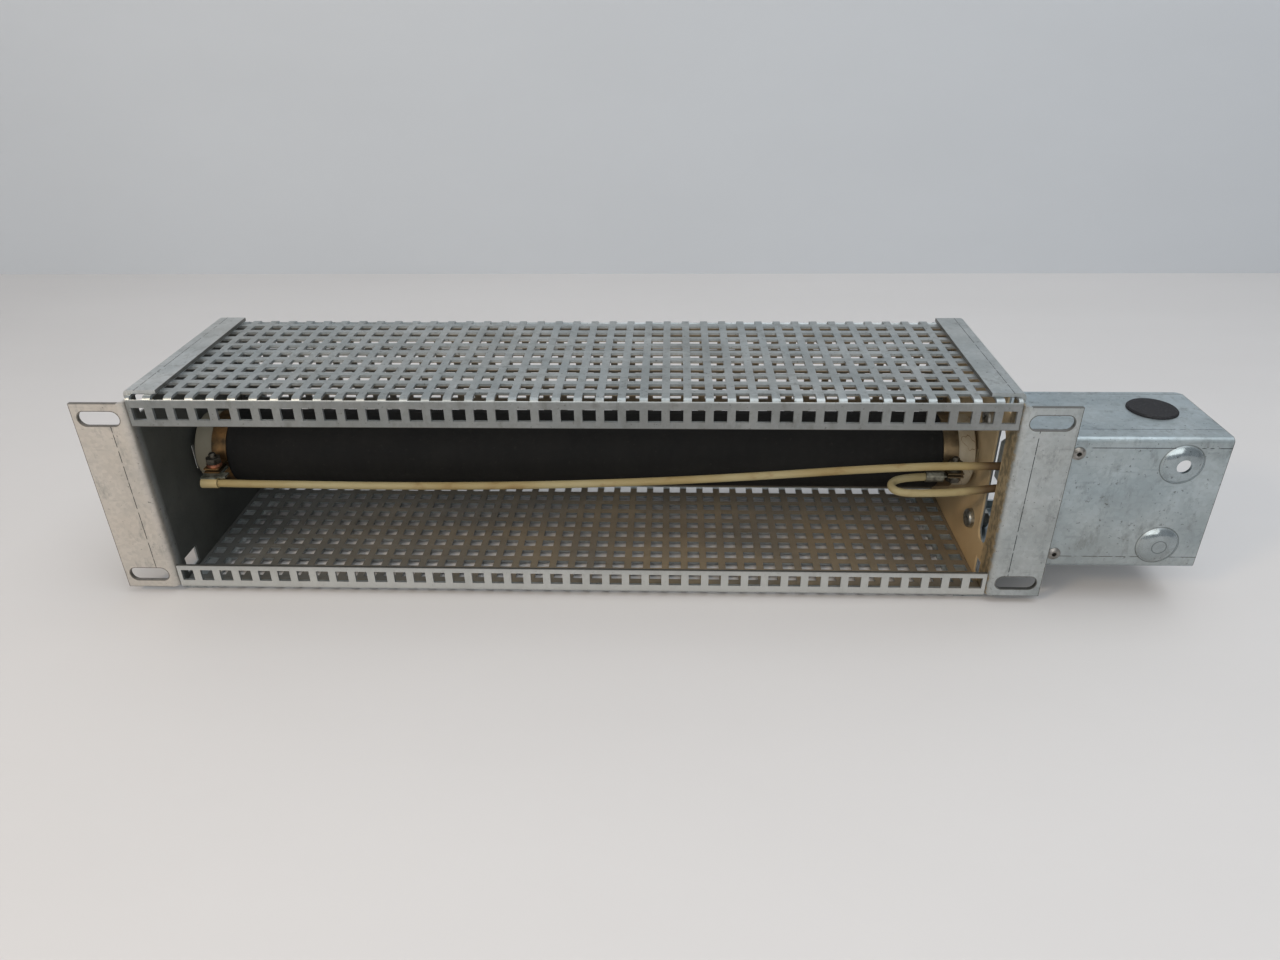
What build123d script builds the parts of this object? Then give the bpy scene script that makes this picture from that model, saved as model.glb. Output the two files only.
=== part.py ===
from build123d import *
import math
import os

# Dynamic braking resistor: perforated steel housing, one wire-wound tube inside, terminal box at the
# right end.
# Millimetres. Origin: centre of the four wall slots on the mounting plane. +X along the housing,
# +Y into the depth away from the mounting plane, +Z up.

# --- perforated cover -------------------------------------------------------------------------------------
COVER_HALF_X = 164.0
COVER_HALF_Z = 43.2
COVER_FRONT_Y = 1.5
COVER_REAR_Y = 87.9
COVER_T = 1.2
COVER_BEND_IN = 1.0
UPPER_LIP_END_Z = 31.3
LOWER_LIP_END_Z = -31.8
PITCH = 8.0
HOLE = 5.0
COLUMNS = 41
LIP_ROW_Z = 36.4
TOP_ROW_FIRST_Y = 12.74
TOP_ROWS = 9
REAR_ROW_FIRST_Z = 31.96
REAR_ROWS = 9
BEND_HOLE_REACH = 5.6
BEND_HOLE_ANGLE = 30.0

# --- end plates -------------------------------------------------------------------------------------------
PLATE_IN_X = 164.2
PLATE_T = 1.5
PLATE_OUT_X = PLATE_IN_X + PLATE_T
PLATE_HALF_Z = 44.8
PLATE_REAR_Y = 89.5
PLATE_RETURN = 12.5
PLATE_RETURN_FRONT_Y = 4.5
PLATE_RETURN_REAR_Y = 86.0
PLATE_TIGHT_IN = 0.4
PLATE_BEND_IN = 1.2
FLANGE_END_X = 185.0
FLANGE_HALF_Z = 41.2
SLOT_X = 175.0
SLOT_Z = 35.0
SLOT_LENGTH = 16.0
SLOT_WIDTH = 6.0
LEFT_CUTOUT_Y = (9.0, 19.3)
RIGHT_CUTOUT_Y = (11.5, 17.3)
CUTOUT_TOP_Z = -33.2
CUTOUT_LOW_Z = -40.8
SLIT_FRONT_Y = 35.8
SLIT_WIDTH = 1.6
SLIT_HALF_Z = 5.75
CONE_BASE_R = 7.2
CONE_TOP_R = 4.2
CONE_HEIGHT = 4.5
WIRE_OPENING_Y0 = 11.5
WIRE_OPENING_Y1 = 20.9
WIRE_OPENING_HALF_Z = 26.0

# --- resistor tube ----------------------------------------------------------------------------------------
TUBE_Y = 47.6
TUBE_Z = 0.0
CORE_X0 = -162.0
CORE_X1 = 162.5
CORE_R = 15.0
CORE_BORE_R = 6.1
COAT_X0 = -148.0
COAT_X1 = 149.0
COAT_R = 16.0
COAT_IN_R = 15.75
COAT_END = 0.8
FIT_GAP = 0.05
WINDING_BASE_R = 15.3
WINDING_TOP_R = 15.7
WINDING_PITCH = 4.0
WINDING_RIBBON = 2.6

# --- terminal bands and their clamp screws ----------------------------------------------------------------
BAND_T = 0.6
BAND_LENGTH = 6.1
LEFT_BAND_X0 = -154.3
RIGHT_BAND_X0 = 149.2
EAR_TIP_Y = 23.4
EAR_LOW_Z = -0.6
EAR_GAP = 0.8
EAR_LENGTH = 6.3
LEFT_EAR_X0 = -154.4
RIGHT_EAR_X0 = 149.2
LEFT_BOLT_X = -151.2
RIGHT_BOLT_X = 152.4
CLAMP_BOLT_Y = 27.0
LUG_T = 0.8
CLAMP_WASHER_T = 1.2
CLAMP_WASHER_R = 3.0

# --- M3 and M4 hardware -----------------------------------------------------------------------------------
M3_SHANK_R = 1.45
M3_THREAD_CLEAR_R = 1.5
M3_HOLE_R = 1.6
M3_HEX_FLATS = 5.5
M3_HEX_HEAD_H = 2.0
M3_NUT_H = 2.4
M4_SHANK_R = 1.95
M4_THREAD_CLEAR_R = 2.0
M4_HOLE_R = 2.2
M4_HEX_FLATS = 7.0
M4_NUT_H = 3.2
M4_WASHER_R = 4.4
PAN_R = 4.0
PAN_H = 2.5

# --- leads ------------------------------------------------------------------------------------------------
LEAD_D = 3.2
LONG_BARREL_R = 2.05
LOOPED_BARREL_R = 2.25
BARREL_IN_R = 1.7
LOOPED_BARREL_IN_R = 1.8
LONG_LEAD = [
    (-154.4, 20.5, -3.60), (-147.9, 20.55, -3.62), (-136.0, 20.9, -4.1), (-114.5, 21.5, -4.6),
    (-73.2, 22.2, -5.4), (-20.4, 22.2, -4.7), (31.7, 21.6, -2.1), (73.7, 20.6, 1.3), (109.6, 19.0, 5.2),
    (138.9, 17.6, 7.8), (153.9, 17.0, 8.4), (164.5, 16.75, 8.55), (172.5, 16.85, 8.60), (180.0, 17.0, 8.60),
]
LOOPED_LEAD = [
    (147.0, 27.0, -1.75), (138.0, 26.85, -2.0), (129.84, 26.55, -3.0), (126.65, 23.36, -3.4),
    (126.65, 18.84, -3.4), (129.84, 15.65, -3.2), (138.0, 15.5, -3.15), (150.0, 15.6, -2.8),
    (162.0, 16.1, -1.5), (171.5, 16.75, -0.65), (180.0, 17.0, -0.50),
]

# --- terminal box -----------------------------------------------------------------------------------------
BOX_T = 1.2
BOX_X0 = 165.8
BOX_FRONT_X0 = 167.2
BOX_X1 = 242.6
BOX_FRONT_Y = 1.9
BOX_REAR_Y = 45.6
BOX_HALF_Z = 28.25
BOX_LIP = 5.0
BOX_BEND_IN = 0.8
BOX_CORNER = 3.6
TAB_Y0 = 24.0
TAB_Y1 = 36.4
TAB_END_Z = 18.0
BOX_SCREW_Y = 30.2
BOX_SCREW_Z = 23.2
BOSS_X = 226.2
BOSS_Z = 17.6
BOSS_BASE_R = 8.0
BOSS_TOP_R = 3.8
BOSS_HOLE_R = 2.75
RIVET_X = 187.7
RIVET_Z = 22.0
RIVET_R = 2.0
RIVET_HEAD_R = 2.6
PLUG_X = 223.9
PLUG_Y = 27.1
PLUG_HOLE_R = 7.6
PLUG_BODY_R = 7.5
PLUG_CAP_R = 9.3
PLUG_CAP_H = 1.0

# --- terminal bracket and block ---------------------------------------------------------------------------
BRACKET_T = 1.2
BRACKET_X0 = 181.0
BRACKET_X1 = 193.6
BRACKET_FOOT_Z = 26.2
BRACKET_LEG_Z = 16.6
BRACKET_TOP_Y = 9.0
BLOCK_X0 = 170.6
BLOCK_X1 = 196.0
BLOCK_Y1 = 31.5
BLOCK_MID_Z = 4.05
BLOCK_HALF_Z = 9.2
BLOCK_CORNER = 2.5
POLE_Y = 17.0
POLE_ZS = (8.6, -0.5)
POLE_HALF = 3.2
CLAMP_X0 = 172.8
CLAMP_X1 = 193.8
CLAMP_BORE_R = 2.25
CLAMP_SCREW_XS = (177.0, 189.6)
CLAMP_SCREW_R = 1.6
CLAMP_SCREW_HEAD_R = 2.6
BLOCK_SCREW_X = 183.3
BLOCK_SCREW_R = 1.2
EARTH_X = 187.3
EARTH_Z = -12.2


def block(x0, x1, y0, y1, z0, z1):
    """Box given by its two corners."""
    return Pos((x0 + x1) / 2, (y0 + y1) / 2, (z0 + z1) / 2) * Box(x1 - x0, y1 - y0, z1 - z0)


def rod(centre, axis, radius, length):
    """Cylinder that starts at centre and runs the given length along axis."""
    return extrude(Plane(origin=centre, z_dir=axis) * Circle(radius), length)


def hexagon(centre, axis, x_dir, flats, height, bore_r=0.0):
    """Hexagon prism with softened corners, x_dir pointing at a flat's middle."""
    corner_r = flats / 2 / math.cos(math.radians(30))
    outline = Rot(0, 0, 30) * RegularPolygon(corner_r, 6)
    solid = extrude(Plane(origin=centre, z_dir=axis, x_dir=x_dir) * outline, height)
    crown = extrude(Plane(origin=centre, z_dir=axis) * Circle(corner_r * 1.02), height)
    rims = [e for e in crown.edges() if e.geom_type == GeomType.CIRCLE]
    solid = solid & chamfer(rims, 0.35)
    if bore_r:
        solid -= rod(centre, axis, bore_r, height)
    return solid


def sheet(plane, points, radii, thickness, amount):
    """Bent strip: points run along one face; the metal lies to their left when thickness > 0."""
    centre_line = FilletPolyline(*points, radius=radii)
    inner_points = offset_points(points, thickness)
    inner_radii = inner_bends(points, radii, thickness)
    inner_line = FilletPolyline(*inner_points, radius=inner_radii)
    caps = [Line(centre_line @ 1, inner_line @ 1), Line(inner_line @ 0, centre_line @ 0)]
    face = make_face([centre_line, inner_line] + caps)
    return extrude(plane * face, amount)


def offset_points(points, distance):
    """Corner points of a polyline moved sideways by distance (to the left when positive)."""
    moved = []
    count = len(points)
    for i in range(count):
        normals = []
        for a, b in ((i - 1, i), (i, i + 1)):
            if a >= 0 and b < count:
                dx = points[b][0] - points[a][0]
                dy = points[b][1] - points[a][1]
                length = math.hypot(dx, dy)
                normals.append((-dy / length, dx / length))
        if len(normals) == 1:
            shift = normals[0]
        else:
            dot = 1 + normals[0][0] * normals[1][0] + normals[0][1] * normals[1][1]
            shift = ((normals[0][0] + normals[1][0]) / dot, (normals[0][1] + normals[1][1]) / dot)
        moved.append((points[i][0] + distance * shift[0], points[i][1] + distance * shift[1]))
    return moved


def inner_bends(points, radius, thickness):
    """Bend radius on the other face of the strip, corner by corner."""
    radii = []
    for i in range(1, len(points) - 1):
        ax = points[i][0] - points[i - 1][0]
        ay = points[i][1] - points[i - 1][1]
        bx = points[i + 1][0] - points[i][0]
        by = points[i + 1][1] - points[i][1]
        turn = ax * by - ay * bx
        toward = turn * thickness > 0
        radii.append(radius - abs(thickness) if toward else radius + abs(thickness))
    return radii


def both(shape, mirror_plane):
    """The shape and its mirror image."""
    return [shape, mirror(shape, about=mirror_plane)]


# --- sub-parts --------------------------------------------------------------------------------------------
def bend_hole(y_sign, z_sign):
    """Cutter for one hole that straddles a long bend of the cover, centred on x = 0."""
    outer = COVER_BEND_IN + COVER_T
    centre_y = COVER_FRONT_Y + outer
    centre_z = COVER_HALF_Z - outer
    angle = math.radians(BEND_HOLE_ANGLE)
    reach = 2 * outer
    points = [
        (centre_y, centre_z),
        (centre_y - reach * math.cos(angle), centre_z + reach * math.sin(angle)),
        (centre_y - reach, COVER_HALF_Z + 1),
        (COVER_FRONT_Y + BEND_HOLE_REACH, COVER_HALF_Z + 1),
        (COVER_FRONT_Y + BEND_HOLE_REACH, centre_z),
    ]
    middle = (COVER_FRONT_Y + COVER_REAR_Y) / 2
    placed = [(middle + y_sign * (y - middle), z_sign * z) for y, z in points]
    face = make_face(Polyline(*placed, close=True))
    return extrude(Plane.YZ * face, HOLE / 2, both=True)


def perforated_cover():
    """One sheet bent into an open box section, with square holes in every face and over the four bends."""
    outline = [
        (COVER_FRONT_Y, UPPER_LIP_END_Z), (COVER_FRONT_Y, COVER_HALF_Z), (COVER_REAR_Y, COVER_HALF_Z),
        (COVER_REAR_Y, -COVER_HALF_Z), (COVER_FRONT_Y, -COVER_HALF_Z), (COVER_FRONT_Y, LOWER_LIP_END_Z),
    ]
    plane = Plane.YZ.offset(-COVER_HALF_X)
    shell = sheet(plane, outline, COVER_BEND_IN + COVER_T, -COVER_T, 2 * COVER_HALF_X)
    half = HOLE / 2
    deep = 3 * COVER_T
    column = []
    for z in (LIP_ROW_Z, -LIP_ROW_Z):
        column.append(block(-half, half, COVER_FRONT_Y - deep, COVER_FRONT_Y + deep, z - half, z + half))
    for row in range(TOP_ROWS):
        y = TOP_ROW_FIRST_Y + row * PITCH
        column.append(block(-half, half, y - half, y + half, COVER_HALF_Z - deep, COVER_HALF_Z + deep))
        column.append(block(-half, half, y - half, y + half, -COVER_HALF_Z - deep, -COVER_HALF_Z + deep))
    for row in range(REAR_ROWS):
        z = REAR_ROW_FIRST_Z - row * PITCH
        column.append(block(-half, half, COVER_REAR_Y - deep, COVER_REAR_Y + deep, z - half, z + half))
    for y_sign in (1, -1):
        for z_sign in (1, -1):
            column.append(bend_hole(y_sign, z_sign))
    first_x = -(COLUMNS - 1) / 2 * PITCH
    cutters = []
    for index in range(COLUMNS):
        cutters += [Pos(first_x + index * PITCH, 0, 0) * cutter for cutter in column]
    return shell - cutters


def end_plate_blank():
    """Right-hand end plate without its cut-outs, wire opening and screw holes."""
    tight = PLATE_TIGHT_IN + PLATE_T
    flange = sheet(
        Plane.XY.offset(-FLANGE_HALF_Z),
        [(FLANGE_END_X, 0), (PLATE_IN_X, 0), (PLATE_IN_X, 20)],
        PLATE_BEND_IN + PLATE_T, -PLATE_T, 2 * FLANGE_HALF_Z,
    )
    rear_flat = PLATE_REAR_Y - tight
    side_flat = PLATE_HALF_Z - tight
    web = block(PLATE_IN_X, PLATE_OUT_X, PLATE_RETURN_FRONT_Y, rear_flat, -side_flat, side_flat)
    return_x = PLATE_OUT_X - PLATE_RETURN
    top = sheet(
        Plane.XZ.offset(-PLATE_RETURN_REAR_Y),
        [(PLATE_OUT_X, side_flat - 1), (PLATE_OUT_X, PLATE_HALF_Z), (return_x, PLATE_HALF_Z)],
        tight, PLATE_T, PLATE_RETURN_REAR_Y - PLATE_RETURN_FRONT_Y,
    )
    rear = sheet(
        Plane.XY.offset(-side_flat + 1.2),
        [(PLATE_OUT_X, rear_flat - 1), (PLATE_OUT_X, PLATE_REAR_Y), (return_x, PLATE_REAR_Y)],
        tight, PLATE_T, 2 * side_flat - 2.4,
    )
    outer, hollow = centring_cone()
    plate = web + flange + both(top, Plane.XY) + rear + outer - hollow
    for z in (SLOT_Z, -SLOT_Z):
        plane = Plane(origin=(SLOT_X, 0, z), x_dir=(1, 0, 0), z_dir=(0, 1, 0))
        plate -= extrude(plane * SlotOverall(SLOT_LENGTH, SLOT_WIDTH), 4, both=True)
    slit_rear_y = SLIT_FRONT_Y + SLIT_WIDTH
    return plate - block(
        PLATE_IN_X - 1, PLATE_OUT_X + 1, SLIT_FRONT_Y, slit_rear_y, -SLIT_HALF_Z, SLIT_HALF_Z
    )


def centring_cone():
    """Cone pressed inwards into the core's bore, as a pair: metal to add, hollow to take away."""
    def cone(x0, x1, r0, r1):
        rims = [
            Plane(origin=(x, TUBE_Y, TUBE_Z), z_dir=(-1, 0, 0)) * Circle(r)
            for x, r in ((x0, r0), (x1, r1))
        ]
        return loft(rims)
    tip_x = PLATE_IN_X - CONE_HEIGHT
    outer = cone(PLATE_IN_X + 0.3, tip_x, CONE_BASE_R, CONE_TOP_R)
    hollow = cone(PLATE_OUT_X + 0.3, tip_x + PLATE_T, CONE_BASE_R - 0.3, CONE_TOP_R - 0.8)
    return outer, hollow


def cutouts(y_range):
    """Cutters for the two rectangular openings at the front corners of an end plate."""
    low = block(PLATE_IN_X - 1, PLATE_OUT_X + 1, *y_range, CUTOUT_LOW_Z, CUTOUT_TOP_Z)
    return both(low, Plane.XY)


def left_end_plate():
    """Left end plate: mirror image of the blank with its own cut-outs."""
    return mirror(end_plate_blank() - cutouts(LEFT_CUTOUT_Y), about=Plane.YZ)


def right_end_plate():
    """Right end plate: adds the wire opening and the two terminal box screw holes."""
    plate = end_plate_blank() - cutouts(RIGHT_CUTOUT_Y)
    width = WIRE_OPENING_Y1 - WIRE_OPENING_Y0
    middle = (WIRE_OPENING_Y0 + WIRE_OPENING_Y1) / 2
    plane = Plane(origin=(PLATE_IN_X, middle, 0), z_dir=(1, 0, 0), x_dir=(0, 0, 1))
    plate -= extrude(plane * SlotOverall(2 * WIRE_OPENING_HALF_Z, width), 4, both=True)
    for z in (BOX_SCREW_Z, -BOX_SCREW_Z):
        plate -= rod((PLATE_IN_X - 1, BOX_SCREW_Y, z), (1, 0, 0), M4_HOLE_R, 4)
    return plate


def tube_ring(x0, x1, outer_r, inner_r):
    """Plain ring about the tube's axis."""
    centre = (x0, TUBE_Y, TUBE_Z)
    return rod(centre, (1, 0, 0), outer_r, x1 - x0) - rod(centre, (1, 0, 0), inner_r, x1 - x0)


def ceramic_core():
    """Ceramic tube with softened end edges."""
    core = tube_ring(CORE_X0, CORE_X1, CORE_R, CORE_BORE_R)
    rims = [e for e in core.edges() if e.geom_type == GeomType.CIRCLE]
    return chamfer(rims, 0.5)


def resistance_winding():
    """Resistance ribbon wound round the core, drawn as a ribbed sleeve."""
    x0 = COAT_X0 + COAT_END + 0.2
    x1 = COAT_X1 - COAT_END - 0.2
    base = CORE_R + FIT_GAP
    points = [(x0, base), (x0, WINDING_BASE_R)]
    turns = int((x1 - x0) // WINDING_PITCH)
    start = (x0 + x1 - (turns - 1) * WINDING_PITCH - WINDING_RIBBON) / 2
    for turn in range(turns):
        x = start + turn * WINDING_PITCH
        points += [(x, WINDING_BASE_R), (x, WINDING_TOP_R)]
        points += [(x + WINDING_RIBBON, WINDING_TOP_R), (x + WINDING_RIBBON, WINDING_BASE_R)]
    points += [(x1, WINDING_BASE_R), (x1, base)]
    face = make_face(Polyline(*points, close=True))
    sleeve = revolve(face, Axis.X)
    return Pos(0, TUBE_Y, TUBE_Z) * sleeve


def cement_coating():
    """Black cement skin over the winding, closed down to the core at both ends."""
    skin = tube_ring(COAT_X0, COAT_X1, COAT_R, CORE_R + FIT_GAP)
    rims = [e for e in skin.edges() if e.geom_type == GeomType.CIRCLE and e.radius > CORE_R + 0.5]
    skin = chamfer(rims, 0.3)
    return skin - tube_ring(COAT_X0 + COAT_END, COAT_X1 - COAT_END, COAT_IN_R, CORE_R)


def terminal_band(x0, ear_x0, bolt_x):
    """Sheet band round the bare end of the core with two ears squeezed by a clamp screw."""
    inner = CORE_R + FIT_GAP
    ring = tube_ring(x0, x0 + BAND_LENGTH, inner + BAND_T, inner)
    low_top = EAR_LOW_Z + BAND_T
    high = low_top + EAR_GAP
    ring -= block(x0 - 1, x0 + BAND_LENGTH + 1, TUBE_Y - CORE_R - 3, TUBE_Y - CORE_R + 2, low_top, high)
    root_y = TUBE_Y - inner - 0.15
    for z in (EAR_LOW_Z, high):
        ring += block(ear_x0, ear_x0 + EAR_LENGTH, EAR_TIP_Y, root_y, z, z + BAND_T)
    return ring - rod((bolt_x, CLAMP_BOLT_Y, EAR_LOW_Z - 1), (0, 0, 1), M3_HOLE_R, 5)


def clamp_stack():
    """Heights of the clamp screw stack: head underside, lug underside, washer top, nut top."""
    lug_under = EAR_LOW_Z - LUG_T
    ears_top = EAR_LOW_Z + 2 * BAND_T + EAR_GAP
    washer_top = ears_top + CLAMP_WASHER_T
    return lug_under, ears_top, washer_top, washer_top + M3_NUT_H


def clamp_bolt(x):
    """Hexagon screw, head below, shank up through lug, ears, washer and nut."""
    lug_under, _, _, nut_top = clamp_stack()
    under = (x, CLAMP_BOLT_Y, lug_under - M3_HEX_HEAD_H)
    head = hexagon(under, (0, 0, 1), (0, 1, 0), M3_HEX_FLATS, M3_HEX_HEAD_H)
    shank = rod((x, CLAMP_BOLT_Y, lug_under - 0.5), (0, 0, 1), M3_SHANK_R, nut_top + 2.0 - lug_under + 0.5)
    tip = [e for e in shank.edges() if e.geom_type == GeomType.CIRCLE and e.center().Z > nut_top]
    return head + chamfer(tip, 0.4)


def clamp_nut(x):
    """Hexagon nut on top of the copper washer."""
    _, _, washer_top, _ = clamp_stack()
    centre = (x, CLAMP_BOLT_Y, washer_top)
    return hexagon(centre, (0, 0, 1), (0, 1, 0), M3_HEX_FLATS, M3_NUT_H, M3_THREAD_CLEAR_R)


def clamp_washer(x):
    """Copper washer between the upper ear and the nut."""
    _, ears_top, _, _ = clamp_stack()
    disc = rod((x, CLAMP_BOLT_Y, ears_top), (0, 0, 1), CLAMP_WASHER_R, CLAMP_WASHER_T)
    return disc - rod((x, CLAMP_BOLT_Y, ears_top), (0, 0, 1), M3_HOLE_R, CLAMP_WASHER_T)


def long_lead_lug():
    """Flag lug: flat palm under the left clamp, barrel crimped along the start of the long lead."""
    lug_under = clamp_stack()[0]
    lug_top = lug_under + LUG_T
    x, y, z = LONG_LEAD[0]
    palm = block(x - 0.2, x + 7.0, y, CLAMP_BOLT_Y + 3.2, lug_under, lug_top)
    flap = block(x + 6.5, x + 9.8, y, y + 3.9, lug_under, lug_top)
    web = block(x, x + 6.4, y - 0.9, y + 0.9, z, lug_top)
    barrel = rod((x - 0.2, y, z), (1, 0, 0), LONG_BARREL_R, 6.8)
    lug = palm + flap + web + barrel
    lug -= rod((x - 1, y + 0.03, z), (1, 0, 0), BARREL_IN_R, 9)
    return lug - rod((LEFT_BOLT_X, CLAMP_BOLT_Y, lug_under - 1), (0, 0, 1), M3_HOLE_R, 4)


def looped_lead_lug():
    """Ring lug under the right clamp, barrel pointing away from the terminal box."""
    lug_under = clamp_stack()[0]
    x, y, z = LOOPED_LEAD[0]
    ring = rod((RIGHT_BOLT_X, y, lug_under), (0, 0, 1), CLAMP_WASHER_R, LUG_T)
    neck = block(x + 0.2, RIGHT_BOLT_X, y - 1.8, y + 1.8, lug_under, lug_under + LUG_T)
    barrel = rod((x - 5.8, y - 0.05, z - 0.05), (1, 0, 0), LOOPED_BARREL_R, 7.0)
    lug = ring + neck + barrel
    lug -= rod((x - 7, y - 0.05, z - 0.05), (1, 0, 0), LOOPED_BARREL_IN_R, 7.6)
    return lug - rod((RIGHT_BOLT_X, y, lug_under - 1), (0, 0, 1), M3_HOLE_R, 4)


def bend_radii(points):
    """Largest comfortable arc radius at each inner corner of a route."""
    radii = []
    for i in range(1, len(points) - 1):
        before = Vector(*points[i]) - Vector(*points[i - 1])
        after = Vector(*points[i + 1]) - Vector(*points[i])
        turn = math.radians(before.get_angle(after))
        radii.append(0.45 * min(before.length, after.length) / math.tan(turn / 2))
    return radii


def lead(points, label):
    """Round lead swept along straight runs joined by tangent arcs."""
    radii = bend_radii(points)
    path = FilletPolyline(*points, radius=radii)
    tube = sweep(Plane(origin=path @ 0, z_dir=path % 0) * Circle(LEAD_D / 2), path=path)
    swept = math.pi * LEAD_D ** 2 / 4 * path.length
    print(label, "length", round(path.length, 1), "radii", [round(r, 1) for r in radii])
    print(label, "volume", round(tube.volume, 1), "section x length", round(swept, 1))
    return tube


def boss_shell():
    """Domed boss pressed out of the box front, as a pair: metal to add, hollow to take away."""
    def dome(base_r, base_y, top_r, top_y, root_y):
        middle = ((base_r + top_r) / 2 + 0.35, top_y + 0.36 * (base_y - top_y))
        curve = ThreePointArc((top_r, top_y), middle, (base_r, base_y))
        sides = Polyline((base_r, base_y), (base_r, root_y), (0, root_y), (0, top_y), (top_r, top_y))
        return Pos(BOSS_X, 0, 0) * revolve(make_face([curve, sides]), Axis.Y)
    front = BOX_FRONT_Y
    outer = dome(BOSS_BASE_R, front, BOSS_TOP_R, 0, front + 0.3)
    hollow = dome(BOSS_BASE_R - 0.6, front + BOX_T, BOSS_TOP_R - 0.4, BOX_T, front + BOX_T + 0.3)
    return outer, hollow


def terminal_box():
    """Folded channel with front, top, bottom, two rear lips and two screw tabs, without its rear cover."""
    outer_bend = BOX_BEND_IN + BOX_T
    outline = [
        (BOX_REAR_Y, BOX_HALF_Z - BOX_LIP), (BOX_REAR_Y, BOX_HALF_Z), (BOX_FRONT_Y, BOX_HALF_Z),
        (BOX_FRONT_Y, -BOX_HALF_Z), (BOX_REAR_Y, -BOX_HALF_Z), (BOX_REAR_Y, -BOX_HALF_Z + BOX_LIP),
    ]
    plane = Plane.YZ.offset(BOX_X0)
    shell = sheet(plane, outline, outer_bend, BOX_T, BOX_X1 - BOX_X0)
    shell -= block(BOX_X0 - 1, BOX_FRONT_X0, BOX_FRONT_Y - 1, 4.6, -30, 30)
    shell -= block(BOX_X0 - 1, BOX_X0 + 2, BOX_REAR_Y - 3, BOX_REAR_Y + 1, -30, 30)
    for z in (1, -1):
        corner = Polyline(
            (BOX_X1 - BOX_CORNER, BOX_REAR_Y + 0.1), (BOX_X1 + 0.1, BOX_REAR_Y - BOX_CORNER),
            (BOX_X1 + 0.1, BOX_REAR_Y + 0.1), close=True,
        )
        cutter = extrude(Plane.XY * make_face(corner), 40 * z)
        shell -= cutter
        tab = sheet(
            Plane.XZ.offset(-TAB_Y1),
            [(BOX_X0 + 4, BOX_HALF_Z), (BOX_X0, BOX_HALF_Z), (BOX_X0, TAB_END_Z)],
            0.3 + BOX_T, BOX_T, TAB_Y1 - TAB_Y0,
        )
        corner_gap = block(BOX_X0 - 1, BOX_X0 + 1.6, TAB_Y0, TAB_Y1, 26, 30)
        if z < 0:
            tab = mirror(tab, about=Plane.XY)
            corner_gap = mirror(corner_gap, about=Plane.XY)
        shell = shell - corner_gap + tab
        shell -= rod((BOX_X0 - 1, BOX_SCREW_Y, z * BOX_SCREW_Z), (1, 0, 0), M4_HOLE_R, 4)
        outer, hollow = boss_shell()
        shell = shell + Pos(0, 0, z * BOSS_Z) * outer - Pos(0, 0, z * BOSS_Z) * hollow
        shell -= rod((RIVET_X, 0, z * RIVET_Z), (0, 1, 0), RIVET_R + FIT_GAP, 5)
    shell -= rod((BOSS_X, -1, BOSS_Z), (0, 1, 0), BOSS_HOLE_R, 5)
    return shell - rod((PLUG_X, PLUG_Y, BOX_HALF_Z - 3), (0, 0, 1), PLUG_HOLE_R, 5)


def box_rivet(z):
    """Blind rivet: low domed head in front, sleeve through box and bracket, bulged tail, open centre."""
    front = BOX_FRONT_Y
    tail = BOX_FRONT_Y + BOX_T + BRACKET_T
    profile = Polyline(
        (0.9, front - 0.9), (1.6, front - 0.9), (RIVET_HEAD_R, front - 0.35), (RIVET_HEAD_R, front),
        (RIVET_R, front), (RIVET_R, tail), (RIVET_R + 0.7, tail + 0.2), (RIVET_R + 0.7, tail + 1.4),
        (RIVET_R, tail + 2.2), (0.9, tail + 2.2), close=True,
    )
    return Pos(RIVET_X, 0, z) * revolve(make_face(profile), Axis.Y)


def box_screw(z):
    """Cross-recessed pan head screw, head inside the housing, shank into the terminal box."""
    head = rod((PLATE_IN_X, BOX_SCREW_Y, z), (-1, 0, 0), PAN_R, PAN_H)
    rim = [e for e in head.edges() if e.geom_type == GeomType.CIRCLE and e.center().X < PLATE_IN_X - 1]
    head = fillet(rim, 1.2)
    for tilt in (45, 135):
        wing = Pos(PLATE_IN_X - PAN_H, BOX_SCREW_Y, z) * Rot(tilt, 0, 0) * Box(3.2, 4.4, 0.9)
        head -= wing
    nut_top = BOX_X0 + BOX_T + M4_NUT_H
    return head + rod((PLATE_IN_X, BOX_SCREW_Y, z), (1, 0, 0), M4_SHANK_R, nut_top + 1.0 - PLATE_IN_X)


def box_nut(z):
    """Nut of a terminal box screw, inside the box."""
    centre = (BOX_X0 + BOX_T, BOX_SCREW_Y, z)
    return hexagon(centre, (1, 0, 0), (0, 0, 1), M4_HEX_FLATS, M4_NUT_H, M4_THREAD_CLEAR_R)


def terminal_bracket():
    """Hat-shaped bracket riveted to the box front that carries the terminal block and the earth screw."""
    foot_y = BOX_FRONT_Y + BOX_T
    outline = [
        (foot_y, -BRACKET_FOOT_Z), (foot_y, -BRACKET_LEG_Z), (BRACKET_TOP_Y - BRACKET_T, -BRACKET_LEG_Z),
        (BRACKET_TOP_Y - BRACKET_T, BRACKET_LEG_Z), (foot_y, BRACKET_LEG_Z), (foot_y, BRACKET_FOOT_Z),
    ]
    plane = Plane.YZ.offset(BRACKET_X0)
    strip = sheet(plane, outline, 1.3, -BRACKET_T, BRACKET_X1 - BRACKET_X0)
    for z in (RIVET_Z, -RIVET_Z):
        strip -= rod((RIVET_X, 0, z), (0, 1, 0), RIVET_R + FIT_GAP, 8)
    strip -= rod((BLOCK_SCREW_X, 4, BLOCK_MID_Z), (0, 1, 0), BLOCK_SCREW_R + FIT_GAP, 8)
    return strip - rod((EARTH_X, 4, EARTH_Z), (0, 1, 0), M4_THREAD_CLEAR_R, 8)


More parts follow.
